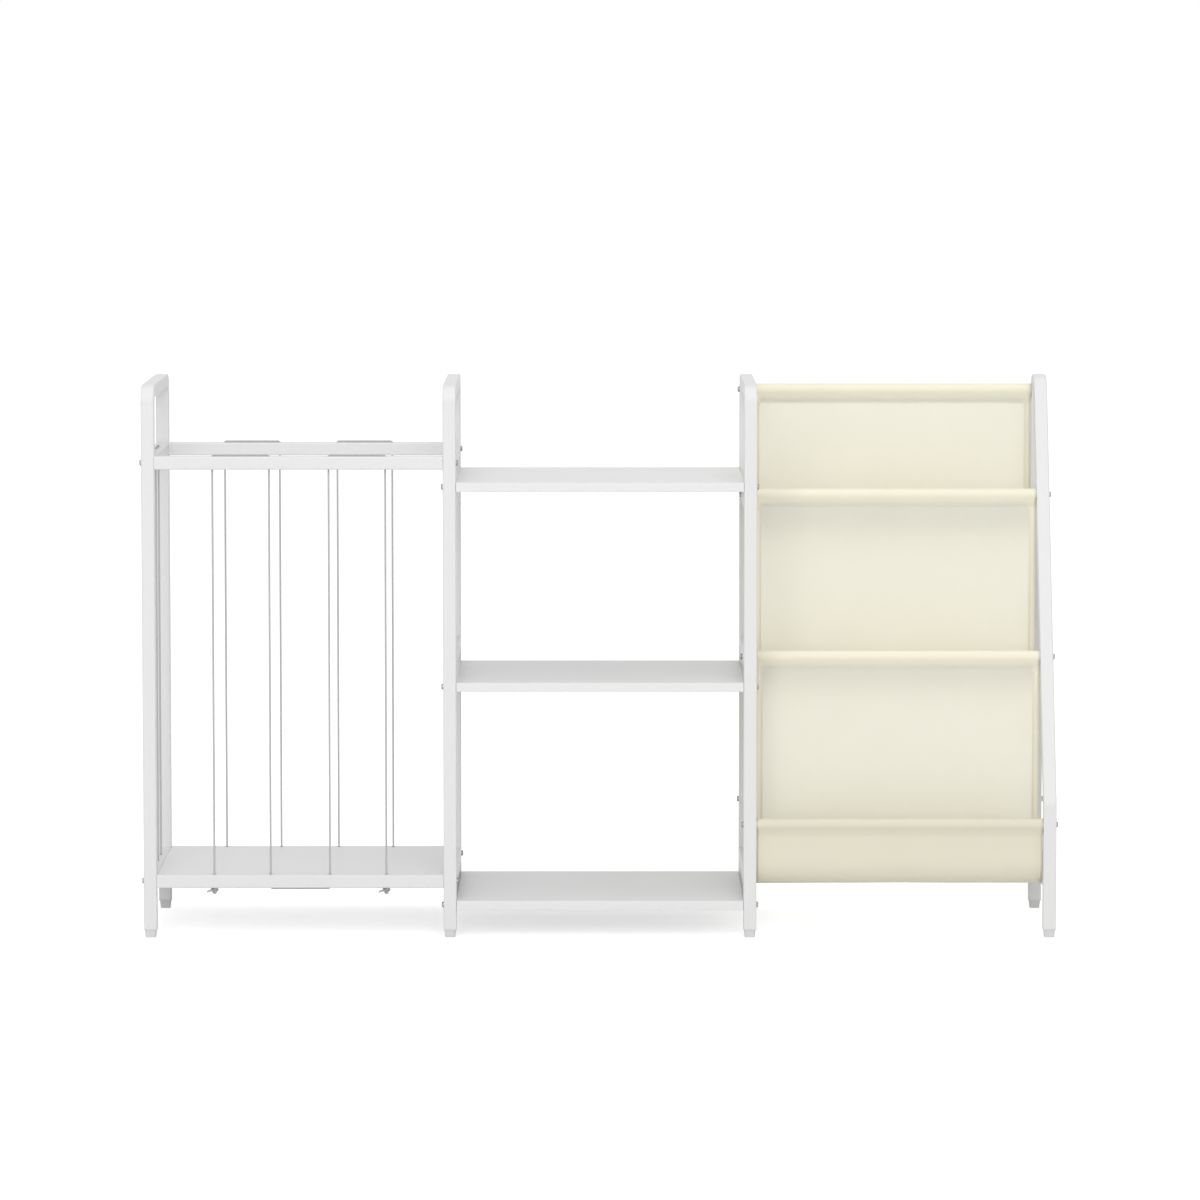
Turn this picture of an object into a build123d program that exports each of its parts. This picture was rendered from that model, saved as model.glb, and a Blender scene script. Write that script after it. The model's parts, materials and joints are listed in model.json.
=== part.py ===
from build123d import *
import math
import os

# Three storage bays in a row, held by four tube frames: a toy bin with elastic cords for walls,
# three open shelves, and a book rack with fabric slings. Millimetres, X to the right, Y to the back,
# Z up from the floor, with the origin on the floor under the middle of the unit.

# Frames
bay_width = 440.0
unit_depth = 300.0
unit_height = 850.0
tube_size = 20.0
tube_wall = 1.2
tube_corner = 2.0
bend_radius = 25.0
foot_height = 14.0

# Toy bin
bin_top_z = 741.0
bin_floor_z = 97.0
floor_thickness = 12.0
floor_gap = 0.5
tab_length = 30.0
tab_reach = 16.0
tab_thickness = 2.0
tab_offset = 150.0

# Elastic cords of the bin
cord_diameter = 3.0
cord_hole_gap = 1.6
cord_lift = 0.1
cord_pitch_inner = 91.0
cord_pitch_outer = 86.5
cord_pitch_side = 55.0
knot_diameter = 10.0
knot_tail = 6.0

# Shelves
shelf_top_zs = {"bottom": 57.0, "middle": 394.0, "top": 701.0}
shelf_thickness = 14.0
shelf_depth = 296.0
shelf_edge = 1.0
shelf_gap = 0.3

# Book rack
rod_diameter = 16.0
rod_wall = 1.2
top_rod_drop = 25.0
upper_rod_z = 668.0
middle_rod_z = 424.0
lower_rod_z = 174.0
slope_foot_z = 207.0
slope_top_depth = 64.3

# Slings
cloth = 0.8
sleeve_gap = 0.3
sling_side_gap = 1.0
seam_drop = 16.0
seam_lap = 6.0
upper_pocket_rise = 19.0
middle_pocket_rise = 10.0
lower_pocket_rise = 39.5

# Bolts, nuts and feet
bolt_diameter = 5.0
bolt_head_diameter = 9.0
bolt_head_height = 3.0
bolt_head_round = 1.8
bolt_grip = 10.0
bolt_socket = 3.2
bolt_socket_depth = 1.8
bolt_hole_gap = 0.25
thread_gap = 0.05
nut_length = 12.0
insert_diameter = 8.0
insert_spare = 4.0
plug_gap = 0.05
flange_height = 2.0
foot_top_size = 17.7
foot_sole_size = 15.2
foot_corner = 3.0
foot_sole_edge = 0.6
foot_plug_length = 15.0

# Places worked out from the sizes above
half_tube = tube_size / 2
tube_inside = tube_size - 2 * tube_wall
tube_bend = bend_radius - half_tube
plug_side = tube_inside - 2 * plug_gap
plug_corner = tube_corner - tube_wall
cord_hole = cord_diameter + 2 * cord_hole_gap
insert_length = bolt_grip + insert_spare
top_rod_z = unit_height - top_rod_drop
pitch = bay_width + tube_size
frame_xs = {
    "left_end": -1.5 * pitch,
    "left_inner": -0.5 * pitch,
    "right_inner": 0.5 * pitch,
    "rack_end": 1.5 * pitch,
}
front_y = -unit_depth / 2 + half_tube
rear_y = unit_depth / 2 - half_tube
side_rail_length = unit_depth - 2 * tube_size
bin_x = (frame_xs["left_end"] + frame_xs["left_inner"]) / 2
rack_x = (frame_xs["right_inner"] + frame_xs["rack_end"]) / 2
upper_rail_z = bin_top_z - half_tube
lower_rail_z = bin_floor_z - half_tube
rod_radius = rod_diameter / 2
bolt_radius = bolt_diameter / 2
thread_radius = bolt_radius + thread_gap

# The rack's end frame leans: its front outer face runs from slope_foot up to slope_top
slope_foot = Vector(-unit_depth / 2, slope_foot_z)
slope_top = Vector(unit_depth / 2 - slope_top_depth, unit_height)
slope_angle = math.atan2(slope_top.X - slope_foot.X, slope_top.Y - slope_foot.Y)


def slope_y(z):
    """Depth of the leaning tube's middle line at a height."""
    if z < slope_foot_z:
        return front_y
    return slope_foot.X + (z - slope_foot_z) * math.tan(slope_angle) + half_tube / math.cos(slope_angle)


# Rods of the rack as (depth, height) of their middle lines
rods = {
    "top": (rear_y, top_rod_z),
    "upper_front": (slope_y(upper_rod_z), upper_rod_z),
    "middle_front": (slope_y(middle_rod_z), middle_rod_z),
    "lower_front": (front_y, lower_rod_z),
    "lower_rear": (rear_y, lower_rod_z),
}
bin_rails = {
    "upper_front": (front_y, upper_rail_z),
    "upper_rear": (rear_y, upper_rail_z),
    "lower_front": (front_y, lower_rail_z),
    "lower_rear": (rear_y, lower_rail_z),
}
shelf_bolt_yzs = [
    (y, top_z - shelf_thickness / 2) for top_z in shelf_top_zs.values() for y in (front_y, rear_y)
]
side_rails = {
    "left_end": {"lower": lower_rail_z, "upper": upper_rail_z},
    "left_inner": {"lower": lower_rail_z, "middle": middle_rod_z, "upper": upper_rail_z},
    "right_inner": {"lower": lower_rail_z, "middle": middle_rod_z, "upper": upper_rod_z},
    "rack_end": {"lower": lower_rail_z},
}
hoop_bolt_yzs = {
    "left_end": list(bin_rails.values()),
    "left_inner": list(bin_rails.values()) + shelf_bolt_yzs,
    "right_inner": [rods["top"], rods["lower_front"], rods["lower_rear"]] + shelf_bolt_yzs,
    "rack_end": list(rods.values()),
}
front_cord_xs = [
    bin_x - cord_pitch_inner / 2 - cord_pitch_outer,
    bin_x - cord_pitch_inner / 2,
    bin_x + cord_pitch_inner / 2,
    bin_x + cord_pitch_inner / 2 + cord_pitch_outer,
]
side_cord_ys = [-cord_pitch_side, 0.0, cord_pitch_side]

os.makedirs("parts", exist_ok=True)


def save(part, node):
    """Names a finished piece and writes it."""
    part.label = node
    export_step(part, f"parts/{node}.step")


def tube_section(plane):
    """Hollow square tube section with rounded corners, as a sketch on a plane."""
    with BuildSketch(plane) as section:
        RectangleRounded(tube_size, tube_size, tube_corner)
        RectangleRounded(tube_inside, tube_inside, tube_corner - tube_wall, mode=Mode.SUBTRACT)
    return section.sketch


def hoop_corners(frame):
    """Middle line of a frame's bent tube as (depth, height) corners, from the front foot to the rear one."""
    top_z = unit_height - half_tube
    if frame != "rack_end":
        return [(front_y, foot_height), (front_y, top_z), (rear_y, top_z), (rear_y, foot_height)]
    lean = half_tube / math.cos(slope_angle)
    knee_z = slope_foot_z - half_tube * math.tan(slope_angle / 2)
    shoulder_y = slope_top.X + lean - half_tube * math.tan(slope_angle)
    return [
        (front_y, foot_height),
        (front_y, knee_z),
        (shoulder_y, top_z),
        (rear_y, top_z),
        (rear_y, foot_height),
    ]


def build_hoop(frame):
    """One bent tube of a frame, with the holes of the bolts that cross it."""
    x = frame_xs[frame]
    with BuildPart() as hoop:
        with BuildLine() as middle_line:
            FilletPolyline(*[(x, y, z) for y, z in hoop_corners(frame)], radius=tube_bend)
        sweep(tube_section(Plane((x, front_y, foot_height))), path=middle_line.wires()[0])
        with BuildSketch(Plane.YZ.offset(x - tube_size)):
            with Locations(*hoop_bolt_yzs[frame]):
                Circle(bolt_radius + bolt_hole_gap)
        extrude(amount=2 * tube_size, mode=Mode.SUBTRACT)
    return hoop.part


def build_side_rail(frame, height):
    """Straight tube welded between the two legs of a frame, with its rod or cord holes."""
    x = frame_xs[frame]
    z = side_rails[frame][height]
    in_bin = frame in ("left_end", "left_inner")
    rod_yzs = [rod for rod in rods.values() if frame == "right_inner" and rod[1] == z]
    with BuildPart() as rail:
        section = tube_section(Plane((x, -side_rail_length / 2, z), x_dir=(1, 0, 0), z_dir=(0, 1, 0)))
        extrude(section, amount=side_rail_length)
        if in_bin:
            with BuildSketch(Plane.XY.offset(z - tube_size)):
                with Locations(*[(x, y) for y in side_cord_ys]):
                    Circle(cord_hole / 2)
            extrude(amount=2 * tube_size, mode=Mode.SUBTRACT)
        if rod_yzs:
            with BuildSketch(Plane.YZ.offset(x - tube_size)):
                with Locations(*rod_yzs):
                    Circle(bolt_radius + bolt_hole_gap)
            extrude(amount=2 * tube_size, mode=Mode.SUBTRACT)
    return rail.part


def build_bin_rail(rail_name):
    """Long rail of the toy bin, pierced from top to bottom for its cord."""
    y, z = bin_rails[rail_name]
    with BuildPart() as rail:
        section = tube_section(Plane((bin_x - bay_width / 2, y, z), x_dir=(0, 1, 0), z_dir=(1, 0, 0)))
        extrude(section, amount=bay_width)
        with BuildSketch(Plane.XY.offset(z - tube_size)):
            with Locations(*[(x, y) for x in front_cord_xs]):
                Circle(cord_hole / 2)
        extrude(amount=2 * tube_size, mode=Mode.SUBTRACT)
    return rail.part


def build_cord(points, knot_ends):
    """Elastic cord as one round tube along straight runs and tight turns, with a knot at each end."""
    bend = cord_hole / 2 - cord_lift
    with BuildPart() as cord:
        with BuildLine() as route:
            FilletPolyline(*points, radius=bend)
        with BuildSketch(Plane(route.wires()[0] @ 0, z_dir=route.wires()[0] % 0)):
            Circle(cord_diameter / 2)
        sweep(path=route.wires()[0])
        with Locations(*knot_ends):
            Sphere(knot_diameter / 2)
    return cord.part


def laced_route(strands, top_z, bottom_z, ends):
    """Corners of a cord laced up and down through its two rails.

    strands are the (x, y) places of the cord's upright runs, in lacing order, and ends says for the
    first and the last strand whether its knot sits below the lower rail or above the upper one.
    """
    over_z = top_z + cord_diameter / 2 + cord_lift
    under_z = bottom_z - cord_diameter / 2 - cord_lift
    knot_reach = knot_diameter / 2 + cord_lift
    end_z = {"below": bottom_z - knot_reach, "above": top_z + knot_reach}
    corners = [(*strands[0], end_z[ends[0]])]
    upwards = ends[0] == "below"
    for here, following in zip(strands, strands[1:]):
        turn_z = over_z if upwards else under_z
        corners += [(*here, turn_z), (*following, turn_z)]
        upwards = not upwards
    corners.append((*strands[-1], end_z[ends[1]]))
    tail = {"below": -1, "above": 1}
    first = (corners[0][0], corners[0][1], corners[0][2] + tail[ends[0]] * knot_tail)
    last = (corners[-1][0], corners[-1][1], corners[-1][2] + tail[ends[1]] * knot_tail)
    route = [first] + corners[1:-1] + [last]
    return route, [corners[0], corners[-1]]


def build_foot(x, y):
    """Plastic foot: a plug in the tube's end, a flange against it and a tapered tip with round corners."""
    tip_height = foot_height - flange_height
    with BuildPart() as foot:
        with BuildSketch(Plane((x, y, 0))):
            RectangleRounded(foot_sole_size, foot_sole_size, foot_corner)
        with BuildSketch(Plane((x, y, tip_height))):
            RectangleRounded(foot_top_size, foot_top_size, foot_corner)
        loft()
        fillet(foot.edges().group_by(Axis.Z)[0], foot_sole_edge)
        with BuildSketch(Plane((x, y, tip_height))):
            RectangleRounded(tube_size, tube_size, tube_corner)
        extrude(amount=flange_height)
        with BuildSketch(Plane((x, y, foot_height))):
            RectangleRounded(plug_side, plug_side, plug_corner)
        extrude(amount=foot_plug_length)
    return foot.part


def build_shelf(top_z):
    """Laminated board, flush with the frames at the front, with a blind insert hole at each corner."""
    length = bay_width - 2 * shelf_gap
    middle_y = (shelf_depth - unit_depth) / 2
    middle_z = top_z - shelf_thickness / 2
    with BuildPart() as shelf:
        with BuildSketch(Plane((0, middle_y, top_z))):
            Rectangle(length, shelf_depth)
        extrude(amount=-shelf_thickness)
        fillet(shelf.edges().filter_by(Axis.X), shelf_edge)
        for side in (-1, 1):
            with BuildSketch(Plane.YZ.offset(side * length / 2)):
                with Locations((front_y, middle_z), (rear_y, middle_z)):
                    Circle(insert_diameter / 2 + plug_gap)
            extrude(amount=-side * insert_length, mode=Mode.SUBTRACT)
    return shelf.part


def build_rod(rod_name):
    """Round steel tube that carries the slings, open at both ends for its threaded plugs."""
    with BuildPart() as rod:
        with BuildSketch(Plane.YZ.offset(rack_x - bay_width / 2)):
            with Locations(rods[rod_name]):
                Circle(rod_radius)
                Circle(rod_radius - rod_wall, mode=Mode.SUBTRACT)
        extrude(amount=bay_width)
    return rod.part


def tangent_point(centre, radius, point, side):
    """Where a straight line from a point below a circle touches it, on its front (-1) or rear (1)."""
    towards = centre - point
    reach = math.asin(radius / towards.length)
    heading = math.atan2(towards.Y, towards.X) - side * reach
    run = math.sqrt(towards.length**2 - radius**2)
    return point + Vector(math.cos(heading), math.sin(heading)) * run


def sleeve_outline(centre, radius, half_base):
    """Teardrop round a rod: an arc over its top and two straight sides down to the seam."""
    seam_z = centre.Y - seam_drop
    front_base = Vector(centre.X - half_base, seam_z)
    rear_base = Vector(centre.X + half_base, seam_z)
    crown = centre + Vector(0, radius)
    front_touch = tangent_point(centre, radius, front_base, -1)
    rear_touch = tangent_point(centre, radius, rear_base, 1)
    with BuildLine() as outline:
        Line(front_base, front_touch)
        ThreePointArc(front_touch, crown, rear_touch)
        Line(rear_touch, rear_base)
        if half_base > 0:
            Line(rear_base, front_base)
    return outline.edges()


def build_sling(rear_rod, front_rod, pocket_rise, has_front_sleeve):
    """Fabric sling: a sleeve on the rear rod, a panel hanging from it, and a pocket up to the front rod.

    The pocket is a half circle with a straight rise from it to the front seam. The lowest sling ends in
    a sleeve of its own on the front rod. The others are sewn to the back of the next sling's sleeve, so
    their front edge lies one layer further back.
    """
    rear = Vector(*rods[rear_rod])
    front = Vector(*rods[front_rod])
    sleeves = [rear, front] if has_front_sleeve else [rear]
    front_low = front.X - cloth if has_front_sleeve else front.X + cloth
    front_high = front_low + cloth
    back_low = rear.X - cloth
    back_high = rear.X
    pocket_radius = (back_low - front_high) / 2
    pocket = Vector((back_low + front_high) / 2, front.Y - seam_drop - pocket_rise)
    with BuildPart() as sling:
        with BuildSketch(Plane.YZ.offset(rack_x - bay_width / 2 + sling_side_gap)):
            with BuildLine():
                Line((front_low, front.Y - seam_drop), (front_low, pocket.Y))
                CenterArc(pocket, pocket_radius + cloth, 180, 180)
                Line((back_high, pocket.Y), (back_high, rear.Y - seam_drop))
                Line((back_high, rear.Y - seam_drop), (back_low, rear.Y - seam_drop))
                Line((back_low, rear.Y - seam_drop), (back_low, pocket.Y))
                CenterArc(pocket, pocket_radius, 180, 180)
                Line((front_high, pocket.Y), (front_high, front.Y - seam_drop))
                Line((front_high, front.Y - seam_drop), (front_low, front.Y - seam_drop))
            make_face()
            for rod in sleeves:
                make_face(sleeve_outline(rod, rod_radius + sleeve_gap + cloth, cloth))
                with Locations((rod.X + cloth / 2, rod.Y - seam_drop - seam_lap / 2)):
                    Rectangle(cloth, seam_lap)
            for rod in sleeves:
                make_face(sleeve_outline(rod, rod_radius + sleeve_gap, 0), mode=Mode.SUBTRACT)
        extrude(amount=bay_width - 2 * sling_side_gap)
    return sling.part


# The four bent tubes and the rails welded across them
for frame in frame_xs:
    save(build_hoop(frame), f"{frame}_hoop")
    for height in side_rails[frame]:
        save(build_side_rail(frame, height), f"{frame}_{height}_side_rail")

# Two feet under each bent tube
for frame, frame_x in frame_xs.items():
    save(build_foot(frame_x, front_y), f"{frame}_front_foot")
    save(build_foot(frame_x, rear_y), f"{frame}_rear_foot")

# Toy bin: four rails, a floor board on tabs, and four laced cords
for rail_name in bin_rails:
    save(build_bin_rail(rail_name), f"bin_{rail_name}_rail")

with BuildPart() as bin_floor:
    with BuildSketch(Plane((bin_x, 0, bin_floor_z))):
        Rectangle(bay_width - 2 * floor_gap, side_rail_length - 2 * floor_gap)
    extrude(amount=-floor_thickness)
save(bin_floor.part, "bin_floor")

with BuildPart() as floor_tabs:
    with BuildSketch(Plane((bin_x, 0, bin_floor_z - floor_thickness))):
        for side in (-1, 1):
            with Locations(
                (-tab_offset, side * (side_rail_length / 2 - tab_reach / 2)),
                (tab_offset, side * (side_rail_length / 2 - tab_reach / 2)),
            ):
                Rectangle(tab_length, tab_reach)
    extrude(amount=-tab_thickness)
save(floor_tabs.part, "bin_floor_tabs")

bin_bottom_z = bin_floor_z - tube_size
for rail_side, rail_y in (("front", front_y), ("rear", rear_y)):
    strands = [(x, rail_y) for x in front_cord_xs]
    route, knots = laced_route(strands, bin_top_z, bin_bottom_z, ("below", "below"))
    save(build_cord(route, knots), f"bin_{rail_side}_cord")
for rail_side, frame in (("left", "left_end"), ("right", "left_inner")):
    strands = [(frame_xs[frame], y) for y in reversed(side_cord_ys)]
    route, knots = laced_route(strands, bin_top_z, bin_bottom_z, ("below", "above"))
    save(build_cord(route, knots), f"bin_{rail_side}_cord")

# Open shelves
for shelf_name, top_z in shelf_top_zs.items():
    save(build_shelf(top_z), f"{shelf_name}_shelf")

# Book rack: five rods and three slings
for rod_name in rods:
    save(build_rod(rod_name), f"{rod_name}_rod")
save(build_sling("top", "upper_front", upper_pocket_rise, False), "upper_sling")
save(build_sling("upper_front", "middle_front", middle_pocket_rise, False), "middle_sling")
save(build_sling("middle_front", "lower_front", lower_pocket_rise, True), "lower_sling")

# One bolt, its head above the origin and its shank below, placed wherever a bolt is needed
with BuildPart() as bolt:
    with BuildSketch(Plane.XY):
        Circle(bolt_head_diameter / 2)
    extrude(amount=bolt_head_height)
    fillet(bolt.edges().group_by(Axis.Z)[-1], bolt_head_round)
    with BuildSketch(Plane.XY.offset(bolt_head_height)):
        RegularPolygon(bolt_socket / 2, 6)
    extrude(amount=-bolt_socket_depth, mode=Mode.SUBTRACT)
    with BuildSketch(Plane.XY):
        Circle(bolt_radius)
    extrude(amount=-(tube_size + bolt_grip))

with BuildPart() as rail_nut:
    with BuildSketch(Plane.XY):
        RectangleRounded(plug_side, plug_side, plug_corner)
        Circle(thread_radius, mode=Mode.SUBTRACT)
    extrude(amount=-nut_length)

with BuildPart() as rod_nut:
    with BuildSketch(Plane.XY):
        Circle(rod_radius - rod_wall - plug_gap)
        Circle(thread_radius, mode=Mode.SUBTRACT)
    extrude(amount=-nut_length)

with BuildPart() as shelf_insert:
    with BuildSketch(Plane.XY):
        Circle(insert_diameter / 2)
        Circle(thread_radius, mode=Mode.SUBTRACT)
    extrude(amount=-insert_length)


def facing(x, yz, side):
    """Place on a face of a tube, turned so that a piece's top points to the left (-1) or right (1)."""
    return Location((x, *yz), (0, side * 90, 0))


bin_ends = {-1: frame_xs["left_end"], 1: frame_xs["left_inner"]}
shelf_ends = {-1: frame_xs["left_inner"], 1: frame_xs["right_inner"]}
rack_ends = {-1: frame_xs["right_inner"], 1: frame_xs["rack_end"]}
fastened = {
    "bin": (bin_ends, list(bin_rails.values()), rail_nut, 0.0),
    "shelf": (shelf_ends, shelf_bolt_yzs, shelf_insert, shelf_gap),
    "rack": (rack_ends, list(rods.values()), rod_nut, 0.0),
}
for bay, (ends, yzs, nut, gap) in fastened.items():
    outer_faces = [facing(ends[side] + side * half_tube, yz, side) for side in ends for yz in yzs]
    inner_ends = [facing(ends[side] - side * (half_tube + gap), yz, side) for side in ends for yz in yzs]
    with BuildPart() as bolts:
        with Locations(*outer_faces):
            add(bolt.part)
    save(bolts.part, f"{bay}_bolts")
    with BuildPart() as nuts:
        with Locations(*inner_ends):
            add(nut.part)
    save(nuts.part, f"{bay}_nuts")
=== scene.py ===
"""Studio scene of an open storage unit: toy bin, flat shelves and a rack of fabric slings.

Everything is in metres, with X to the right, Y to the back, Z up and the floor at zero.
"""

import json
import logging
import math
from dataclasses import dataclass, field
from enum import Enum

import bpy
import numpy as np
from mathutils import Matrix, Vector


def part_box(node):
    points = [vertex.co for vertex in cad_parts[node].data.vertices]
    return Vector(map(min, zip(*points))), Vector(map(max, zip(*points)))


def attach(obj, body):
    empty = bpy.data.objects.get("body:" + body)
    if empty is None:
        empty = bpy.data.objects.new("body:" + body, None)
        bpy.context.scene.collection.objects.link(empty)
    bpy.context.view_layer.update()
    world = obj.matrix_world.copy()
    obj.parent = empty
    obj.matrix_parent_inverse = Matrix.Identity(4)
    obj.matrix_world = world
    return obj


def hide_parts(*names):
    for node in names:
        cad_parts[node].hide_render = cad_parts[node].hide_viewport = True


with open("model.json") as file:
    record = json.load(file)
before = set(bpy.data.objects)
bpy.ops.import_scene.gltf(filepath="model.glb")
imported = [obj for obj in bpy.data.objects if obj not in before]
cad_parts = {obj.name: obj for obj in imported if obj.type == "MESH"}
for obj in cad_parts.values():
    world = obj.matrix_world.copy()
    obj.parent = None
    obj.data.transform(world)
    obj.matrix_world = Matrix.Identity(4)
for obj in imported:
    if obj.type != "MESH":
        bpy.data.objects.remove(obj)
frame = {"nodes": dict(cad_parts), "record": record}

LOG = logging.getLogger("storage_unit")
BODY = "root"
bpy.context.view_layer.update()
WHITE = (1.0, 1.0, 1.0, 1.0)

# Points nearer than this count as one
SAME_POINT = 1e-6
# A direction that no cord sets out in
ODD_DIRECTION = np.array([0.31, 0.83, 0.46])
# Fewest steps on an arc, and points on each rounded corner of a cord
ARC_STEPS = 4
CORNER_POINTS = 9
# How far the roughness of a coat swings with its cloud
ROUGHNESS_SWING = 0.12
# Height of the threads' backs and of their crossings, and how sharply the gaps between them fade
THREAD_CROWN = 0.6
CROSSING_HEIGHT = 0.25
GAP_SHARPNESS = 2.5


class Slot(Enum):
    """Material slots of the record."""

    STEEL = "white_steel"
    BOARD = "white_board"
    PLASTIC = "grey_plastic"
    ELASTIC = "grey_elastic"
    FABRIC = "cream_fabric"
    BOLT = "bolt_metal"
    NUT = "nut_metal"


class Strand(Enum):
    """Where a cord starts or ends: knotted under the lower rail or over the upper one."""

    BELOW = -1
    ABOVE = 1


def srgb(red: float, green: float, blue: float) -> tuple[float, float, float, float]:
    """Turns a screen colour into the linear colour that a shader takes.

    Args:
        red, green, blue: screen values from 0 to 255.

    Returns:
        Linear red, green, blue and an alpha of 1.
    """
    shares = np.array([red, green, blue]) / 255.0
    linear = np.where(shares <= 0.04045, shares / 12.92, ((shares + 0.055) / 1.055) ** 2.4)
    return (*linear.tolist(), 1.0)


def node_box(name: str) -> tuple[np.ndarray, np.ndarray]:
    """Lowest and highest corner of a CAD node, as arrays."""
    low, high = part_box(name)
    return np.array(low), np.array(high)


def mesh_piece(
    name: str,
    points: np.ndarray,
    faces: list[list[int]],
    material: bpy.types.Material,
    uv: np.ndarray,
) -> bpy.types.Object:
    """Makes a smooth mesh object that rides on the unit.

    Args:
        name: the piece's name.
        points: its points, as rows of x, y, z.
        faces: its faces, as rows of point numbers.
        material: the finish.
        uv: one u, v pair for each point, in metres along the surface.

    Returns:
        The new object.
    """
    mesh = bpy.data.meshes.new(name)
    mesh.from_pydata(points.tolist(), [], faces)
    mesh.update()
    mesh.polygons.foreach_set("use_smooth", np.ones(len(mesh.polygons), dtype=bool))
    corners = np.empty(len(mesh.loops), dtype=np.int32)
    mesh.loops.foreach_get("vertex_index", corners)
    layer = mesh.uv_layers.new(name="surface")
    layer.data.foreach_set("uv", uv[corners].astype(np.float32).ravel())
    mesh.materials.append(material)
    piece = bpy.data.objects.new(name, mesh)
    bpy.context.scene.collection.objects.link(piece)
    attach(piece, BODY)
    LOG.info("%s: %d faces", name, len(mesh.polygons))
    return piece


def grid_faces(rows: int, columns: int, wrap_columns: bool = False) -> np.ndarray:
    """Quads of a grid of points numbered row by row.

    Args:
        rows: number of rows of points.
        columns: number of points in a row.
        wrap_columns: whether the last column joins the first, as round a tube.

    Returns:
        Rows of four point numbers.
    """
    across = columns if wrap_columns else columns - 1
    row, column = np.meshgrid(np.arange(rows - 1), np.arange(across), indexing="ij")
    following = (column + 1) % columns
    corner = row * columns
    beyond = corner + columns
    quads = np.stack([corner + column, corner + following, beyond + following, beyond + column])
    return quads.reshape(4, -1).T


def travelled(line: np.ndarray) -> np.ndarray:
    """Length along a line at each of its points."""
    return np.concatenate([[0], np.cumsum(np.linalg.norm(np.diff(line, axis=0), axis=1))])


def arc(centre: tuple[float, float], radius: float, start: float, end: float, step: float) -> np.ndarray:
    """Points along a circle's arc in a plane: centre plus radius times cosine and sine of the angle.

    Args:
        centre: the circle's middle.
        radius: its radius.
        start, end: the first and the last angle, in degrees.
        step: the largest distance between points.

    Returns:
        Rows of two coordinates.
    """
    length = radius * math.radians(abs(end - start))
    angles = np.radians(np.linspace(start, end, max(ARC_STEPS, math.ceil(length / step)) + 1))
    return np.stack([centre[0] + radius * np.cos(angles), centre[1] + radius * np.sin(angles)], axis=1)


def tube_along(path: np.ndarray, radius: np.ndarray, sides: int) -> tuple[np.ndarray, np.ndarray, np.ndarray]:
    """Round tube along a path, as circles square to it: path plus radius times two steady cross directions.

    Each circle's first direction is the one before it, turned as little as the path allows, so that
    the surface does not twist.

    Args:
        path: rows of x, y, z.
        radius: the tube's radius at each row.
        sides: points round the tube.

    Returns:
        Points, quads, and u, v in metres round and along the tube.
    """
    along = np.gradient(path, axis=0)
    along /= np.linalg.norm(along, axis=1, keepdims=True)
    side = np.cross(along[0], ODD_DIRECTION)
    first = np.empty_like(path)
    for row, direction in enumerate(along):
        side = side - direction * side.dot(direction)
        side = side / np.linalg.norm(side)
        first[row] = side
    second = np.cross(along, first)
    turns = np.linspace(0, 2 * math.pi, sides, endpoint=False)
    ring = np.cos(turns)[None, :, None] * first[:, None] + np.sin(turns)[None, :, None] * second[:, None]
    points = path[:, None] + radius[:, None, None] * ring
    uv = np.stack(np.broadcast_arrays(turns[None] * radius.max(), travelled(path)[:, None]), axis=-1)
    return points.reshape(-1, 3), grid_faces(len(path), sides, wrap_columns=True), uv.reshape(-1, 2)


def straight_run(start: np.ndarray, end: np.ndarray, step: float) -> np.ndarray:
    """Evenly spaced points on a straight run, from the one after its start to its end."""
    count = max(2, math.ceil(np.linalg.norm(end - start) / step))
    return start + (end - start) * np.linspace(0, 1, count)[1:, None]


def rounded_route(corners: np.ndarray, bend: float, step: float) -> np.ndarray:
    """Straight runs joined by arcs that touch both runs at each corner.

    The arc at a corner starts bend times the tangent of half the turn before it. Its points are the
    middle of the arc plus the two unit directions, weighted by sine and cosine.

    Args:
        corners: rows of x, y, z.
        bend: the arcs' radius.
        step: the largest distance between points on a run.

    Returns:
        Rows of x, y, z.
    """
    pieces = [corners[:1]]
    for before, here, after in zip(corners, corners[1:], corners[2:]):
        inward = (here - before) / np.linalg.norm(here - before)
        outward = (after - here) / np.linalg.norm(after - here)
        turn = math.acos(np.clip(inward.dot(outward), -1, 1))
        reach = bend * math.tan(turn / 2)
        middle = here + (outward - inward) * bend / math.sin(turn)
        start = here - inward * reach
        spoke = start - middle
        swing = np.linspace(0, turn, CORNER_POINTS)[:, None]
        pieces.append(straight_run(pieces[-1][-1], start, step)[:-1])
        pieces.append(middle + spoke * np.cos(swing) + inward * bend * np.sin(swing))
    pieces.append(straight_run(pieces[-1][-1], corners[-1], step))
    return np.concatenate(pieces)


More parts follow.
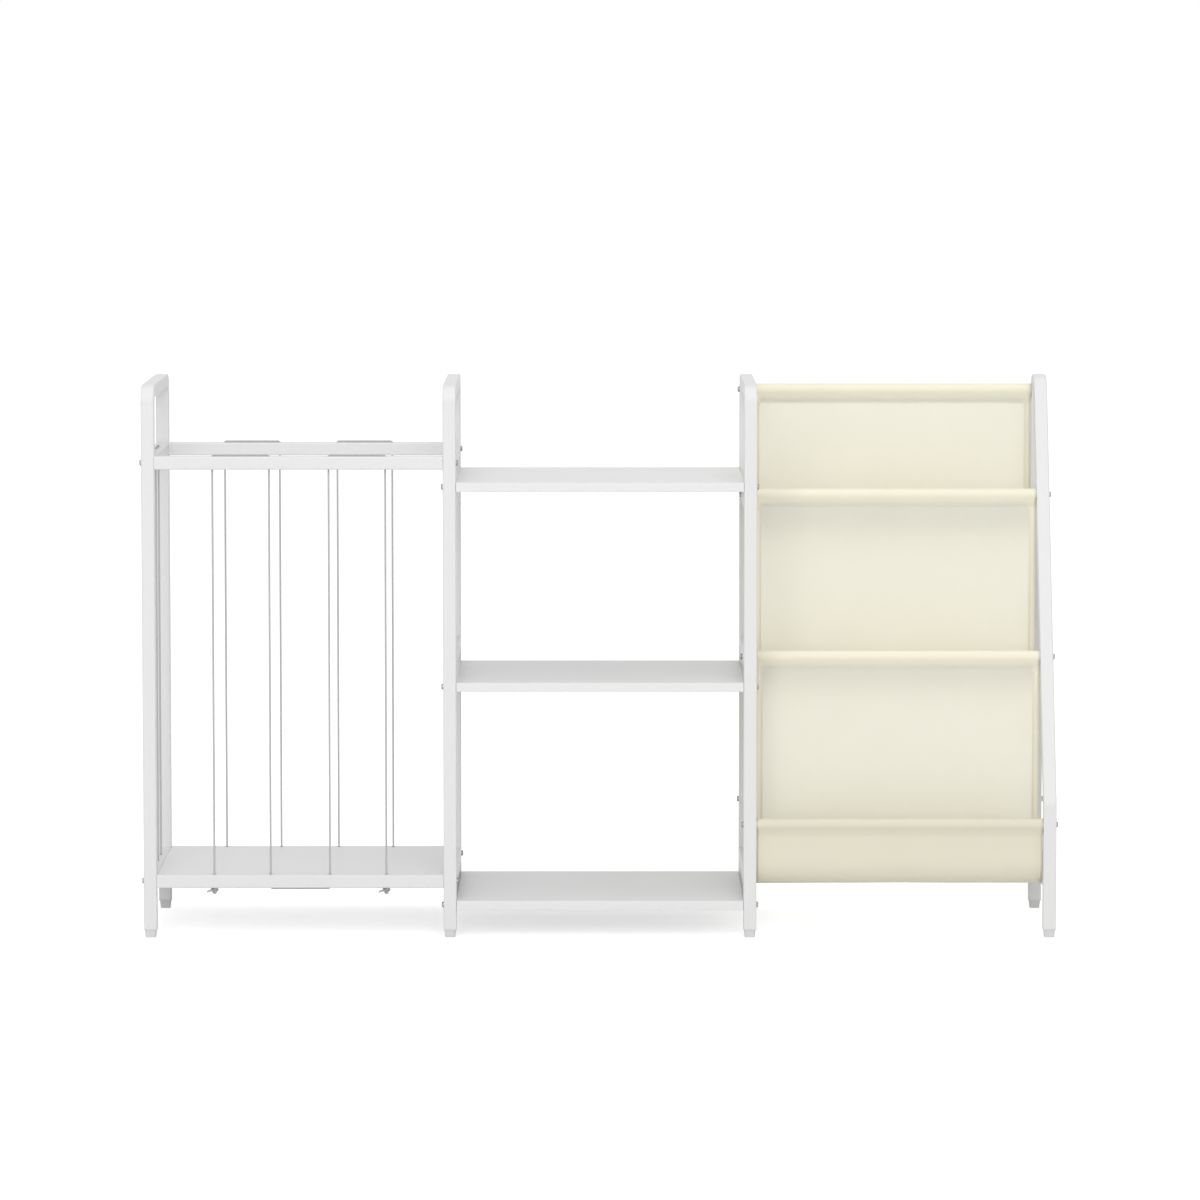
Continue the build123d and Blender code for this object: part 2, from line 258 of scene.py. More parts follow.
class Shader:
    """A node material under construction, with short calls for what the finishes share."""

    def __init__(self, name: str) -> None:
        """Starts a material that holds one Principled shader."""
        self.material = bpy.data.materials.new(name)
        self.material.use_nodes = True
        self.nodes = self.material.node_tree.nodes
        self.links = self.material.node_tree.links
        self.surface = self.nodes["Principled BSDF"]

    def add(self, kind: str, **values: object) -> bpy.types.Node:
        """Adds a node and sets its named inputs or properties.

        Args:
            kind: the node's type name.
            values: input values by input name, with spaces written as underscores, or properties.

        Returns:
            The node.
        """
        node = self.nodes.new(kind)
        for key, value in values.items():
            if hasattr(node, key):
                setattr(node, key, value)
            else:
                node.inputs[key.replace("_", " ")].default_value = value
        return node

    def group(self, tree: bpy.types.NodeTree, **values: object) -> bpy.types.Node:
        """Places a shared node group and sets its named inputs."""
        node = self.nodes.new("ShaderNodeGroup")
        node.node_tree = tree
        for key, value in values.items():
            node.inputs[key.replace("_", " ")].default_value = value
        return node

    def place(self, coordinate: str) -> bpy.types.NodeSocket:
        """Texture coordinates of the given kind."""
        return self.add("ShaderNodeTexCoord").outputs[coordinate]

    def join(self, start: bpy.types.NodeSocket, end: bpy.types.NodeSocket) -> None:
        """Links two sockets."""
        self.links.new(start, end)

    def set(self, **values: object) -> None:
        """Sets inputs of the Principled shader by name, with spaces written as underscores."""
        for key, value in values.items():
            self.surface.inputs[key.replace("_", " ")].default_value = value


class SharedGroups:
    """Node groups that several finishes use."""

    def __init__(self) -> None:
        """Builds each group once."""
        self.mottle = self._mottle()
        self.weave = self._weave()

    @staticmethod
    def _start(name: str, inputs: dict[str, tuple[str, object]], outputs: dict[str, str]) -> tuple:
        """Starts a group with named sockets.

        Args:
            name: the group's name.
            inputs: for each input its socket type and default value.
            outputs: for each output its socket type.

        Returns:
            The tree, its input node and its output node.
        """
        tree = bpy.data.node_groups.new(name, "ShaderNodeTree")
        for label, (kind, value) in inputs.items():
            socket = tree.interface.new_socket(name=label, in_out="INPUT", socket_type=kind)
            if value is not None:
                socket.default_value = value
        for label, kind in outputs.items():
            tree.interface.new_socket(name=label, in_out="OUTPUT", socket_type=kind)
        return tree, tree.nodes.new("NodeGroupInput"), tree.nodes.new("NodeGroupOutput")

    def _mottle(self) -> bpy.types.NodeTree:
        """Slow unevenness of a coat: a base colour darkened a little by soft noise, with its roughness and
        the fine skin of sprayed powder as a height."""
        tree, start, end = self._start(
            "coat unevenness",
            {
                "Place": ("NodeSocketVector", None),
                "Color": ("NodeSocketColor", (0.8, 0.8, 0.8, 1.0)),
                "Depth": ("NodeSocketFloat", 0.04),
                "Cloud Scale": ("NodeSocketFloat", 9.0),
                "Skin Scale": ("NodeSocketFloat", 900.0),
                "Roughness": ("NodeSocketFloat", 0.4),
            },
            {"Color": "NodeSocketColor", "Roughness": "NodeSocketFloat", "Height": "NodeSocketFloat"},
        )
        cloud = tree.nodes.new("ShaderNodeTexNoise")
        cloud.inputs["Detail"].default_value = 3.0
        skin = tree.nodes.new("ShaderNodeTexNoise")
        skin.inputs["Detail"].default_value = 1.0
        darker = tree.nodes.new("ShaderNodeMapRange")
        darker.inputs["To Min"].default_value = 1.0
        lowest = tree.nodes.new("ShaderNodeMath")
        lowest.operation = "SUBTRACT"
        lowest.inputs[0].default_value = 1.0
        tint = tree.nodes.new("ShaderNodeVectorMath")
        tint.operation = "SCALE"
        rough = tree.nodes.new("ShaderNodeMath")
        rough.operation = "MULTIPLY_ADD"
        rough.inputs[1].default_value = ROUGHNESS_SWING
        link = tree.links.new
        link(start.outputs["Place"], cloud.inputs["Vector"])
        link(start.outputs["Place"], skin.inputs["Vector"])
        link(start.outputs["Cloud Scale"], cloud.inputs["Scale"])
        link(start.outputs["Skin Scale"], skin.inputs["Scale"])
        link(start.outputs["Depth"], lowest.inputs[1])
        link(cloud.outputs["Fac"], darker.inputs["Value"])
        link(lowest.outputs["Value"], darker.inputs["To Max"])
        link(start.outputs["Color"], tint.inputs[0])
        link(darker.outputs["Result"], tint.inputs["Scale"])
        link(cloud.outputs["Fac"], rough.inputs[0])
        link(start.outputs["Roughness"], rough.inputs[2])
        link(tint.outputs["Vector"], end.inputs["Color"])
        link(rough.outputs["Value"], end.inputs["Roughness"])
        link(skin.outputs["Fac"], end.inputs["Height"])
        return tree

    def _weave(self) -> bpy.types.NodeTree:
        """Plain weave or braid: two sets of threads that cross, as sine waves of u and v that take turns on
        top. Gives the threads' height and a mask of the gaps between them."""
        tree, start, end = self._start(
            "crossed threads",
            {
                "Place": ("NodeSocketVector", None),
                "Across": ("NodeSocketFloat", 900.0),
                "Along": ("NodeSocketFloat", 900.0),
                "Turn": ("NodeSocketFloat", 0.0),
            },
            {"Height": "NodeSocketFloat", "Gaps": "NodeSocketFloat"},
        )
        link = tree.links.new

        def math_node(operation: str, *values: object) -> bpy.types.NodeSocket:
            """Adds a Math node from numbers or sockets and gives its output."""
            node = tree.nodes.new("ShaderNodeMath")
            node.operation = operation
            for place, value in enumerate(values):
                if isinstance(value, bpy.types.NodeSocket):
                    link(value, node.inputs[place])
                else:
                    node.inputs[place].default_value = value
            return node.outputs["Value"]

        turned = tree.nodes.new("ShaderNodeVectorRotate")
        turned.rotation_type = "Z_AXIS"
        parts = tree.nodes.new("ShaderNodeSeparateXYZ")
        link(start.outputs["Place"], turned.inputs["Vector"])
        link(start.outputs["Turn"], turned.inputs["Angle"])
        link(turned.outputs["Vector"], parts.inputs["Vector"])
        u = math_node("MULTIPLY", parts.outputs["X"], start.outputs["Across"])
        v = math_node("MULTIPLY", parts.outputs["Y"], start.outputs["Along"])
        wave_u = math_node("SINE", math_node("MULTIPLY", u, 2 * math.pi))
        wave_v = math_node("SINE", math_node("MULTIPLY", v, 2 * math.pi))
        over = math_node("MULTIPLY", math_node("SINE", math_node("MULTIPLY", u, math.pi)),
                         math_node("SINE", math_node("MULTIPLY", v, math.pi)))
        backs = math_node("MULTIPLY", math_node("ABSOLUTE", over), THREAD_CROWN)
        crossings = math_node("MULTIPLY", math_node("MULTIPLY", wave_u, wave_v), CROSSING_HEIGHT)
        height = math_node("ADD", backs, crossings)
        closed = math_node("MINIMUM", math_node("MULTIPLY", height, GAP_SHARPNESS), 1.0)
        gaps = math_node("SUBTRACT", 1.0, closed)
        link(height, end.inputs["Height"])
        link(math_node("MAXIMUM", gaps, 0.0), end.inputs["Gaps"])
        return tree


@dataclass(frozen=True)
class CoatFinish:
    """Painted, laminated, moulded or plated surface with a slightly uneven coat."""

    name: str
    color: tuple[float, float, float, float]
    roughness: float
    depth: float = 0.03
    cloud_scale: float = 9.0
    skin_scale: float = 900.0
    skin_height: float = 0.00002
    metallic: float = 0.0
    specular: float = 0.5

    def build(self, groups: SharedGroups) -> bpy.types.Material:
        """Makes the material.

        Args:
            groups: the shared node groups.

        Returns:
            The material.
        """
        shader = Shader(self.name)
        coat = shader.group(groups.mottle, Color=self.color, Depth=self.depth, Cloud_Scale=self.cloud_scale,
                            Skin_Scale=self.skin_scale, Roughness=self.roughness)
        bump = shader.add("ShaderNodeBump", Strength=1.0, Distance=self.skin_height)
        shader.join(shader.place("Object"), coat.inputs["Place"])
        shader.join(coat.outputs["Color"], shader.surface.inputs["Base Color"])
        shader.join(coat.outputs["Roughness"], shader.surface.inputs["Roughness"])
        shader.join(coat.outputs["Height"], bump.inputs["Height"])
        shader.join(bump.outputs["Normal"], shader.surface.inputs["Normal"])
        shader.set(Metallic=self.metallic, Specular_IOR_Level=self.specular)
        return shader.material


@dataclass(frozen=True)
class WovenFinish:
    """Cloth or braid whose threads follow the piece's own surface map, in metres.

    On cloth, the "layers" attribute blends the colour towards doubled_and_shaded_color, the tint of doubled
    cloth that is partly painted shade, and the "backed" attribute takes off painted_shade_loss as painted
    shade; both stop light from passing through. Their colours and losses were fitted to the photograph under
    the studio's lamps and are not measures of the cloth.
    """

    name: str
    color: tuple[float, float, float, float]
    thread_color: tuple[float, float, float, float]
    threads_across: float
    threads_along: float
    turn: float = 0.0
    thread_height: float = 0.0001
    roughness: float = 0.85
    slub: float = 0.03
    cloud_scale: float = 14.0
    skin_scale: float = 420.0
    gap_share: float = 0.6
    specular: float = 0.2
    # Tint of doubled cloth, its darkness partly painted shade
    doubled_and_shaded_color: tuple[float, float, float, float] | None = None
    sheen: float = 0.0
    light_through: float = 0.0
    opaque_layers: float = 0.35
    # Share of the colour taken off as painted shade on marked rows
    painted_shade_loss: float = 0.0
    scatter_depth: float = 0.003

    def build(self, groups: SharedGroups) -> bpy.types.Material:
        """Makes the material.

        Args:
            groups: the shared node groups.

        Returns:
            The material.
        """
        shader = Shader(self.name)
        surface_map = shader.place("UV")
        weave = shader.group(groups.weave, Across=self.threads_across, Along=self.threads_along,
                             Turn=self.turn)
        coat = shader.group(groups.mottle, Color=self.color, Depth=self.slub, Cloud_Scale=self.cloud_scale,
                            Skin_Scale=self.skin_scale, Roughness=self.roughness - ROUGHNESS_SWING / 2)
        mix = shader.add("ShaderNodeMix", data_type="RGBA")
        mix.inputs["B"].default_value = self.thread_color
        bump = shader.add("ShaderNodeBump", Strength=1.0, Distance=self.thread_height)
        share = shader.add("ShaderNodeMath", operation="MULTIPLY")
        share.inputs[1].default_value = self.gap_share
        if self.doubled_and_shaded_color is not None:
            self.let_light_through(shader, coat)
        shader.join(surface_map, weave.inputs["Place"])
        shader.join(shader.place("Object"), coat.inputs["Place"])
        shader.join(weave.outputs["Gaps"], share.inputs[0])
        shader.join(share.outputs["Value"], mix.inputs["Factor"])
        shader.join(coat.outputs["Color"], mix.inputs["A"])
        shader.join(mix.outputs["Result"], shader.surface.inputs["Base Color"])
        shader.join(coat.outputs["Roughness"], shader.surface.inputs["Roughness"])
        shader.join(weave.outputs["Height"], bump.inputs["Height"])
        shader.join(bump.outputs["Normal"], shader.surface.inputs["Normal"])
        shader.set(Sheen_Weight=self.sheen, Specular_IOR_Level=self.specular,
                   Subsurface_Scale=self.scatter_depth, Subsurface_Radius=(1.0, 1.0, 1.0))
        return shader.material

    def let_light_through(self, shader: Shader, coat: bpy.types.Node) -> None:
        """Lets light through single cloth, tints doubled cloth partly with painted shade, and paints shade on
        marked rows, by the piece's attributes.
        """
        # Doubled cloth's colour, partly painted shade
        doubled = shader.add("ShaderNodeMix", data_type="RGBA")
        doubled.inputs["A"].default_value = self.color
        doubled.inputs["B"].default_value = self.doubled_and_shaded_color
        layers = shader.add("ShaderNodeAttribute", attribute_name="layers")
        # Mask of the rows that carry painted shade; it also stops light through
        painted_shade = shader.add("ShaderNodeAttribute", attribute_name="painted_shade")
        # Colour scale: one where unmarked, less the loss where painted shade lies
        light = shader.add("ShaderNodeMapRange")
        light.inputs["To Min"].default_value = 1.0
        light.inputs["To Max"].default_value = 1.0 - self.painted_shade_loss
        dimmed = shader.add("ShaderNodeVectorMath", operation="SCALE")
        stopped = shader.add("ShaderNodeMath", operation="MAXIMUM")
        through = shader.add("ShaderNodeMapRange")
        through.inputs["From Max"].default_value = self.opaque_layers
        through.inputs["To Min"].default_value = self.light_through
        through.inputs["To Max"].default_value = 0.0
        shader.join(layers.outputs["Fac"], doubled.inputs["Factor"])
        shader.join(doubled.outputs["Result"], dimmed.inputs[0])
        shader.join(painted_shade.outputs["Fac"], light.inputs["Value"])
        shader.join(light.outputs["Result"], dimmed.inputs["Scale"])
        shader.join(dimmed.outputs["Vector"], coat.inputs["Color"])
        shader.join(layers.outputs["Fac"], stopped.inputs[0])
        shader.join(painted_shade.outputs["Fac"], stopped.inputs[1])
        shader.join(stopped.outputs["Value"], through.inputs["Value"])
        shader.join(through.outputs["Result"], shader.surface.inputs["Subsurface Weight"])


def tube_caps(points: int, sides: int) -> list[list[int]]:
    """End faces of a tube whose points are numbered ring by ring."""
    return [list(range(sides))[::-1], list(range(points - sides, points))]


def sample(values: np.ndarray, lengths: np.ndarray, places: np.ndarray) -> np.ndarray:
    """Rows of x, y, z at places along a line, between its own rows at the given lengths."""
    return np.stack([np.interp(places, lengths, values[:, axis]) for axis in range(3)], axis=1)


@dataclass
class Stitching:
    """Rows of sewing thread, each stitch a short bead that bulges in its middle."""

    thread: bpy.types.Material
    pitch: float = 0.0032
    length: float = 0.0024
    radius: float = 0.00028
    sides: int = 6
    profile: tuple[float, ...] = (0.2, 0.8, 1.0, 0.8, 0.2)
    centres: list[np.ndarray] = field(default_factory=list)
    directions: list[np.ndarray] = field(default_factory=list)
    normals: list[np.ndarray] = field(default_factory=list)

    def row(self, line: np.ndarray, normals: np.ndarray) -> None:
        """Adds a row of evenly spaced stitches along a line on the cloth.

        Args:
            line: rows of x, y, z.
            normals: the way out of the cloth at each row.
        """
        lengths = travelled(line)
        places = np.arange(self.pitch / 2, lengths[-1], self.pitch)
        reach = self.pitch / 4
        out = sample(normals, lengths, places)
        along = sample(line, lengths, places + reach) - sample(line, lengths, places - reach)
        self.centres.append(sample(line, lengths, places))
        self.directions.append(along / np.linalg.norm(along, axis=1, keepdims=True))
        self.normals.append(out / np.linalg.norm(out, axis=1, keepdims=True))

    def build(self, name: str) -> bpy.types.Object:
        """Makes all the stitches as one piece.

        A stitch's point is its centre, plus a share of its length along the row, plus the profile's
        radius times the cosine and sine of the angle in the two directions across the row.

        Args:
            name: the piece's name.

        Returns:
            The piece.
        """
        centres = np.concatenate(self.centres)
        along = np.concatenate(self.directions)
        out = np.concatenate(self.normals)
        across = np.cross(along, out)
        rings = len(self.profile)
        shares = np.linspace(-0.5, 0.5, rings)
        turns = np.linspace(0, 2 * math.pi, self.sides, endpoint=False)
        ring_radius = self.radius * np.array(self.profile)
        forward = along[:, None, None] * (shares * self.length)[None, :, None, None]
        wide = across[:, None, None] * (ring_radius[:, None] * np.cos(turns))[None, :, :, None]
        high = out[:, None, None] * (ring_radius[:, None] * np.sin(turns))[None, :, :, None]
        points = (centres[:, None, None] + forward + wide + high).reshape(-1, 3)
        own = grid_faces(rings, self.sides, wrap_columns=True)
        count = rings * self.sides
        starts = np.arange(len(centres)) * count
        quads = (starts[:, None, None] + own[None]).reshape(-1, 4).tolist()
        ends = tube_caps(count, self.sides)
        caps = [[start + corner for corner in cap] for start in starts.tolist() for cap in ends]
        own_uv = np.stack([np.tile(turns, rings), np.repeat(shares, self.sides)], axis=1)
        uv = np.tile(own_uv, (len(centres), 1)) * self.length
        return mesh_piece(name, points, quads + caps, self.thread, uv)


@dataclass(frozen=True)
class ClothWaves:
    """Slow waves of hung cloth: wide folds that swerve on the way down, finer ripples that lean, and swells
    along it. Shares are of the wave height; widths and lengths are metres a radian.
    """

    fold_share: float = 0.5
    fold_width: float = 0.052
    fold_swerve: float = 0.9
    fold_length: float = 0.11
    ripple_share: float = 0.3
    ripple_width: float = 0.021
    ripple_length: float = 0.09
    swell_share: float = 0.4
    swell_length: float = 0.047
    swell_swerve: float = 1.7
    swell_width: float = 0.13

    def height(self, x: np.ndarray, s: np.ndarray) -> np.ndarray:
        """Sum of a sine for each kind of wave, at places across and lengths along the cloth."""
        folds = np.sin(x / self.fold_width + self.fold_swerve * np.sin(s / self.fold_length))
        ripples = np.sin(x / self.ripple_width + s / self.ripple_length)
        swells = np.sin(s / self.swell_length + self.swell_swerve * np.sin(x / self.swell_width))
        return self.fold_share * folds + self.ripple_share * ripples + self.swell_share * swells


@dataclass
class Sling:
    """One fabric sling: a sleeve on its rear rod, a panel, and a pocket that rises to its front rod."""

    name: str
    rear_rod: str
    front_rod: str
    has_front_sleeve: bool = False
    cloth: float = 0.0008
    sleeve_gap: float = 0.0003
    seam_drop: float = 0.016
    seam_lap: float = 0.006
    hem_width: float = 0.010
    hem_thickness: float = 0.0011
    hem_slack: float = 1.001
    hem_stitch_share: float = 0.8
    waves: ClothWaves = ClothWaves()
    wave_height: float = 0.0011
    step: float = 0.003
    columns: int = 75
    # Share of painted shade on the pocket, from 0 to 1
    painted_shade_share: float = 0.0
    # Shares of the doubled colour on sleeves and hems; that colour is partly painted shade
    sleeve_layers: float = 0.4
    hem_layers: float = 0.25

    @staticmethod
    def rod(name: str) -> tuple[np.ndarray, float]:
        """Depth and height of a rod's middle line, and its radius."""
        low, high = node_box(name)
        return ((low + high) / 2)[1:], (high[2] - low[2]) / 2

    def tangent_angles(self, radius: float) -> tuple[float, float]:
        """Angles, in degrees, where the sleeve's rear and front sides leave the rod.

        Seen from the rod's middle, the seam is straight down, and a side touches the circle at the
        angle whose cosine is the radius over the seam's distance, to either side of that.
        """
        swing = math.degrees(math.acos(radius / self.seam_drop))
        return -90 + swing, 270 - swing

    def section(self) -> tuple[np.ndarray, dict[str, float]]:
        """The cloth's middle line in depth and height, from its rear seam to its front end.

        Straight runs join arcs that touch them: round the rear rod, round the pocket's half circle, and
        for the lowest sling round its front rod.

        Returns:
            Rows of depth and height, and the length along them at which the panel, the pocket and the
            rise to the front rod start and the rise ends.
        """
        rear, radius = self.rod(self.rear_rod)
        front, _ = self.rod(self.front_rod)
        half = self.cloth / 2
        sleeve_radius = radius + self.sleeve_gap + half
        sleeve_step = self.step / 3
        rear_leave, front_leave = self.tangent_angles(sleeve_radius)
        back_y = rear[0] - half
        front_y = front[0] - half if self.has_front_sleeve else front[0] + 3 * half
        pocket_radius = (back_y - front_y) / 2
        pocket_z = node_box(self.name)[0][2] + half + pocket_radius
        pocket = ((back_y + front_y) / 2, pocket_z)
        rear_seam = rear[1] - self.seam_drop
        front_seam = front[1] - self.seam_drop
        runs = {
            "lap": self.run((rear[0] + half, rear_seam - self.seam_lap), (rear[0] + half, rear_seam)),
            "sleeve": arc(tuple(rear), sleeve_radius, rear_leave, front_leave, sleeve_step),
            "panel": self.run((back_y, rear_seam), (back_y, pocket_z)),
            "pocket": arc(pocket, pocket_radius, 0, -180, self.step),
            "rise": self.run((front_y, pocket_z), (front_y, front_seam)),
        }
        if self.has_front_sleeve:
            lap_y = front[0] + half
            runs["front_sleeve"] = arc(tuple(front), sleeve_radius, front_leave, rear_leave, sleeve_step)
            runs["front_lap"] = self.run((lap_y, front_seam), (lap_y, front_seam - self.seam_lap))
        line = np.concatenate(list(runs.values()))
        keep = np.concatenate([[True], np.linalg.norm(np.diff(line, axis=0), axis=1) > SAME_POINT])
        length = travelled(line)
        first_rows = dict(zip(runs, np.cumsum([0] + [len(run) for run in runs.values()])[:-1]))
        marks = {run: float(length[row]) for run, row in first_rows.items()}
        marks["rise_end"] = float(length[first_rows["rise"] + len(runs["rise"]) - 1])
        return line[keep], marks

    def run(self, start: tuple[float, float], end: tuple[float, float]) -> np.ndarray:
        """Evenly spaced points on a straight run."""
        count = max(2, math.ceil(math.dist(start, end) / self.step) + 1)
        return np.linspace(start, end, count)

    def surface(
        self, line: np.ndarray, marks: dict[str, float], across: np.ndarray, offset: float
    ) -> tuple[np.ndarray, np.ndarray]:
        """The cloth as a surface of the length along its section and the place across it.

        A point is the section's point, pushed along the section's normal by the offset and by the slow
        waves, which fade out towards both seams by a squared sine.

        Args:
            line: the section's rows of depth and height.
            marks: lengths at which the section's runs start.
            across: places across the unit.
            offset: distance in front of the middle of the cloth.

        Returns:
            Points as rows by columns by x, y, z, and the normals of the rows.
        """
        tangent = np.gradient(line, axis=0)
        tangent /= np.linalg.norm(tangent, axis=1, keepdims=True)
        normal = np.stack([tangent[:, 1], -tangent[:, 0]], axis=1)
        length = travelled(line)
        share = np.clip((length - marks["panel"]) / (marks["rise_end"] - marks["panel"]), 0, 1)
        fade = np.sin(math.pi * share) ** 2
        waves = self.waves.height(across[None, :], length[:, None])
        push = offset + self.wave_height * fade[:, None] * waves
        points = np.empty((len(line), len(across), 3))
        points[..., 0] = across[None, :]
        points[..., 1] = line[:, :1] + normal[:, :1] * push
        points[..., 2] = line[:, 1:] + normal[:, 1:] * push
        normals = np.stack([np.zeros(len(line)), normal[:, 0], normal[:, 1]], axis=1)
        return points, normals

    def sheet_piece(
        self,
        name: str,
        rows: np.ndarray,
        places: tuple[np.ndarray, np.ndarray],
        thickness: float,
        fabric: bpy.types.Material,
        layers: np.ndarray,
        painted_shade: np.ndarray,
    ) -> bpy.types.Object:
        """Makes a surface into a piece of cloth with a thickness.

        Args:
            name: the piece's name.
            rows: points as rows by columns by x, y, z.
            places: the length along the section of each row, and the place across of each column.
            thickness: how thick the cloth is.
            fabric: its finish.
            layers: how far each point takes the colour of doubled cloth, which is partly painted shade, from
                0 to 1.
            painted_shade: how far each row is darkened by painted shade, from 0 to 1.

        Returns:
            The piece.
        """
        length, across = places
        uv = np.stack(np.broadcast_arrays(across[None, :], length[:, None]), axis=-1).reshape(-1, 2)
        faces = grid_faces(rows.shape[0], rows.shape[1]).tolist()
        piece = mesh_piece(name, rows.reshape(-1, 3), faces, fabric, uv)
        for label, values in (("layers", layers.ravel()), ("painted_shade", np.repeat(painted_shade, len(across)))):
            attribute = piece.data.attributes.new(label, "FLOAT", "POINT")
            attribute.data.foreach_set("value", values.astype(np.float32))
        shell = piece.modifiers.new("thickness", "SOLIDIFY")
        shell.thickness = thickness
        shell.offset = 0.0
        return piece

    def build(self, fabric: bpy.types.Material, thread: bpy.types.Material) -> bpy.types.Object:
        """Makes the cloth, its side hems and its rows of stitches.

        Args:
            fabric: the cloth's finish.
            thread: the finish of its stitches.

        Returns:
            The cloth.
        """
        line, marks = self.section()
        length = travelled(line)
        low, high = node_box(self.name)
        across = np.linspace(low[0], high[0], self.columns)
        inner = across[(across > low[0] + self.hem_width) & (across < high[0] - self.hem_width)]
        edges = np.array([low[0], low[0] + self.hem_width / 2, low[0] + self.hem_width])
        right_edges = low[0] + high[0] - edges[::-1]
        across = np.concatenate([edges, inner, right_edges])
        rows, _ = self.surface(line, marks, across, 0.0)
        in_sleeve = (length < marks["panel"]) | (length > marks["rise_end"])
        round_pocket = (length - marks["pocket"]) / (marks["rise"] - marks["pocket"])
        # Painted shade, growing round the pocket and full on its rise to the front rod
        painted_shade = self.painted_shade_share * np.clip(round_pocket, 0, 1)
        in_hem = np.minimum(across - low[0], high[0] - across) <= self.hem_width * self.hem_slack
        layers = np.maximum(self.sleeve_layers * in_sleeve[:, None], self.hem_layers * in_hem[None, :])
        cloth = self.sheet_piece(f"{self.name}_cloth", rows, (length, across), self.cloth, fabric,
                                 layers, painted_shade)
        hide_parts(self.name)
        stack = (self.cloth + self.hem_thickness) / 2
        hemmed = (length >= marks["panel"] + self.step) & (length <= marks["rise_end"])
        stitching = Stitching(thread)
        stitch_inset = self.hem_width * self.hem_stitch_share
        for side, hem_columns, seam_x in (
            ("left", edges, low[0] + stitch_inset),
            ("right", right_edges, high[0] - stitch_inset),
        ):
            strip, normals = self.surface(line, marks, hem_columns, stack)
            hem_layers = layers[hemmed][:, :len(hem_columns)]
            hem = self.sheet_piece(f"{self.name}_{side}_hem", strip[hemmed], (length[hemmed], hem_columns),
                                   self.hem_thickness, fabric, hem_layers, painted_shade[hemmed])
            thread_line, _ = self.surface(line, marks, np.array([seam_x]), stack + self.hem_thickness / 2)
            stitching.row(thread_line[hemmed, 0], normals[hemmed])
            behind, _ = self.surface(line, marks, np.array([seam_x]), -self.cloth / 2)
            stitching.row(behind[hemmed, 0], -normals[hemmed])
        seams = [(marks["panel"] + self.step / 2, 1)]
        if self.has_front_sleeve:
            seams.append((marks["rise_end"] - self.step / 2, -1))
        for place, way in seams:
            row = int(np.argmin(np.abs(length - place)))
            grid, normals = self.surface(line, marks, across, way * self.cloth / 2)
            stitching.row(grid[row], np.tile(way * normals[row], (len(across), 1)))
        stitching.build(f"{self.name}_stitches")
        return cloth


@dataclass
class ElasticCord:
    """Elastic cord laced up and down between two rails, with a knot and a tail at each end."""

    node: str
    strands: np.ndarray
    top: float
    bottom: float
    ends: tuple[Strand, Strand]
    radius: float = 0.0015
    bend: float = 0.003
    lift: float = 0.0001
    knot_drop: float = 0.0051
    knot_size: float = 0.00175
    tail_reach: float = 0.0112
    tail_rise: float = 0.0030
    tail_sweep: float = 1.5
    tail_points: int = 9
    knot_squash: float = 0.82
    knot_depth: float = 1.1
    knot_points: int = 61
    route_step: float = 0.012
    sides: int = 14

    def corners(self) -> np.ndarray:
        """Corners of the cord's route: up and over the top rail, down and under the lower one, in turn."""
        over = self.top + self.radius + self.lift
        under = self.bottom - self.radius - self.lift
        knot = {Strand.BELOW: self.bottom - self.knot_drop, Strand.ABOVE: self.top + self.knot_drop}
        route = [np.array([*self.strands[0], knot[self.ends[0]]])]
        upwards = self.ends[0] is Strand.BELOW
        for here, following in zip(self.strands, self.strands[1:]):
            turn = over if upwards else under
            route += [np.array([*here, turn]), np.array([*following, turn])]
            upwards = not upwards
        route.append(np.array([*self.strands[-1], knot[self.ends[1]]]))
        return np.array(route)

    def knot(self, centre: np.ndarray, side: np.ndarray) -> np.ndarray:
        """Closed line of a drawn-up overhand knot, which is a trefoil standing upright.

        It is sine t plus two sine 2t to the side, cosine t less two cosine 2t upwards, squashed a little, and
        minus sine 3t in depth, deepened a little, times the knot's size.

        Args:
            centre: the knot's middle.
            side: unit direction of the knot's width.

        Returns:
            Rows of x, y, z.
        """
        t = np.linspace(0, 2 * math.pi, self.knot_points)[:, None]
        depth = np.cross(side, [0.0, 0.0, 1.0])
        upward = np.array([0.0, 0.0, self.knot_squash])
        wide = (np.sin(t) + 2 * np.sin(2 * t)) * side
        high = (np.cos(t) - 2 * np.cos(2 * t)) * upward
        return centre + self.knot_size * (wide + high - np.sin(3 * t) * depth * self.knot_depth)

    def tail_line(self, centre: np.ndarray, end: Strand, side: np.ndarray) -> np.ndarray:
        """Short free end of the cord beyond its knot, as a quarter wave that leans to one side."""
        t = np.linspace(0, 1, self.tail_points)[:, None]
        lean = side * self.tail_reach * np.sin(t * self.tail_sweep)
        return centre + lean + np.array([0.0, 0.0, end.value * self.tail_rise]) * t**2

    def build(self, braid: bpy.types.Material) -> bpy.types.Object:
        """Makes the cord with its knots and tails as one piece.

        Args:
            braid: the cord's finish.

        Returns:
            The piece.
        """
        corners = self.corners()
        side = corners[2] - corners[1]
        side /= np.linalg.norm(side)
        lines = [rounded_route(corners, self.bend, self.route_step)]
        for centre, end in ((corners[0], self.ends[0]), (corners[-1], self.ends[1])):
            lines.append(self.knot(centre, side))
            lines.append(self.tail_line(centre, end, -side))
        points, faces, maps, start = [], [], [], 0
        for line in lines:
            tube, quads, uv = tube_along(line, np.full(len(line), self.radius), self.sides)
            points.append(tube)
            maps.append(uv)
            faces += (quads + start).tolist()
            faces += [[start + corner for corner in cap] for cap in tube_caps(len(tube), self.sides)]
            start += len(tube)
        piece = mesh_piece(f"{self.node}_braid", np.concatenate(points), faces, braid,
                           np.concatenate(maps))
        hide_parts(self.node)
        return piece


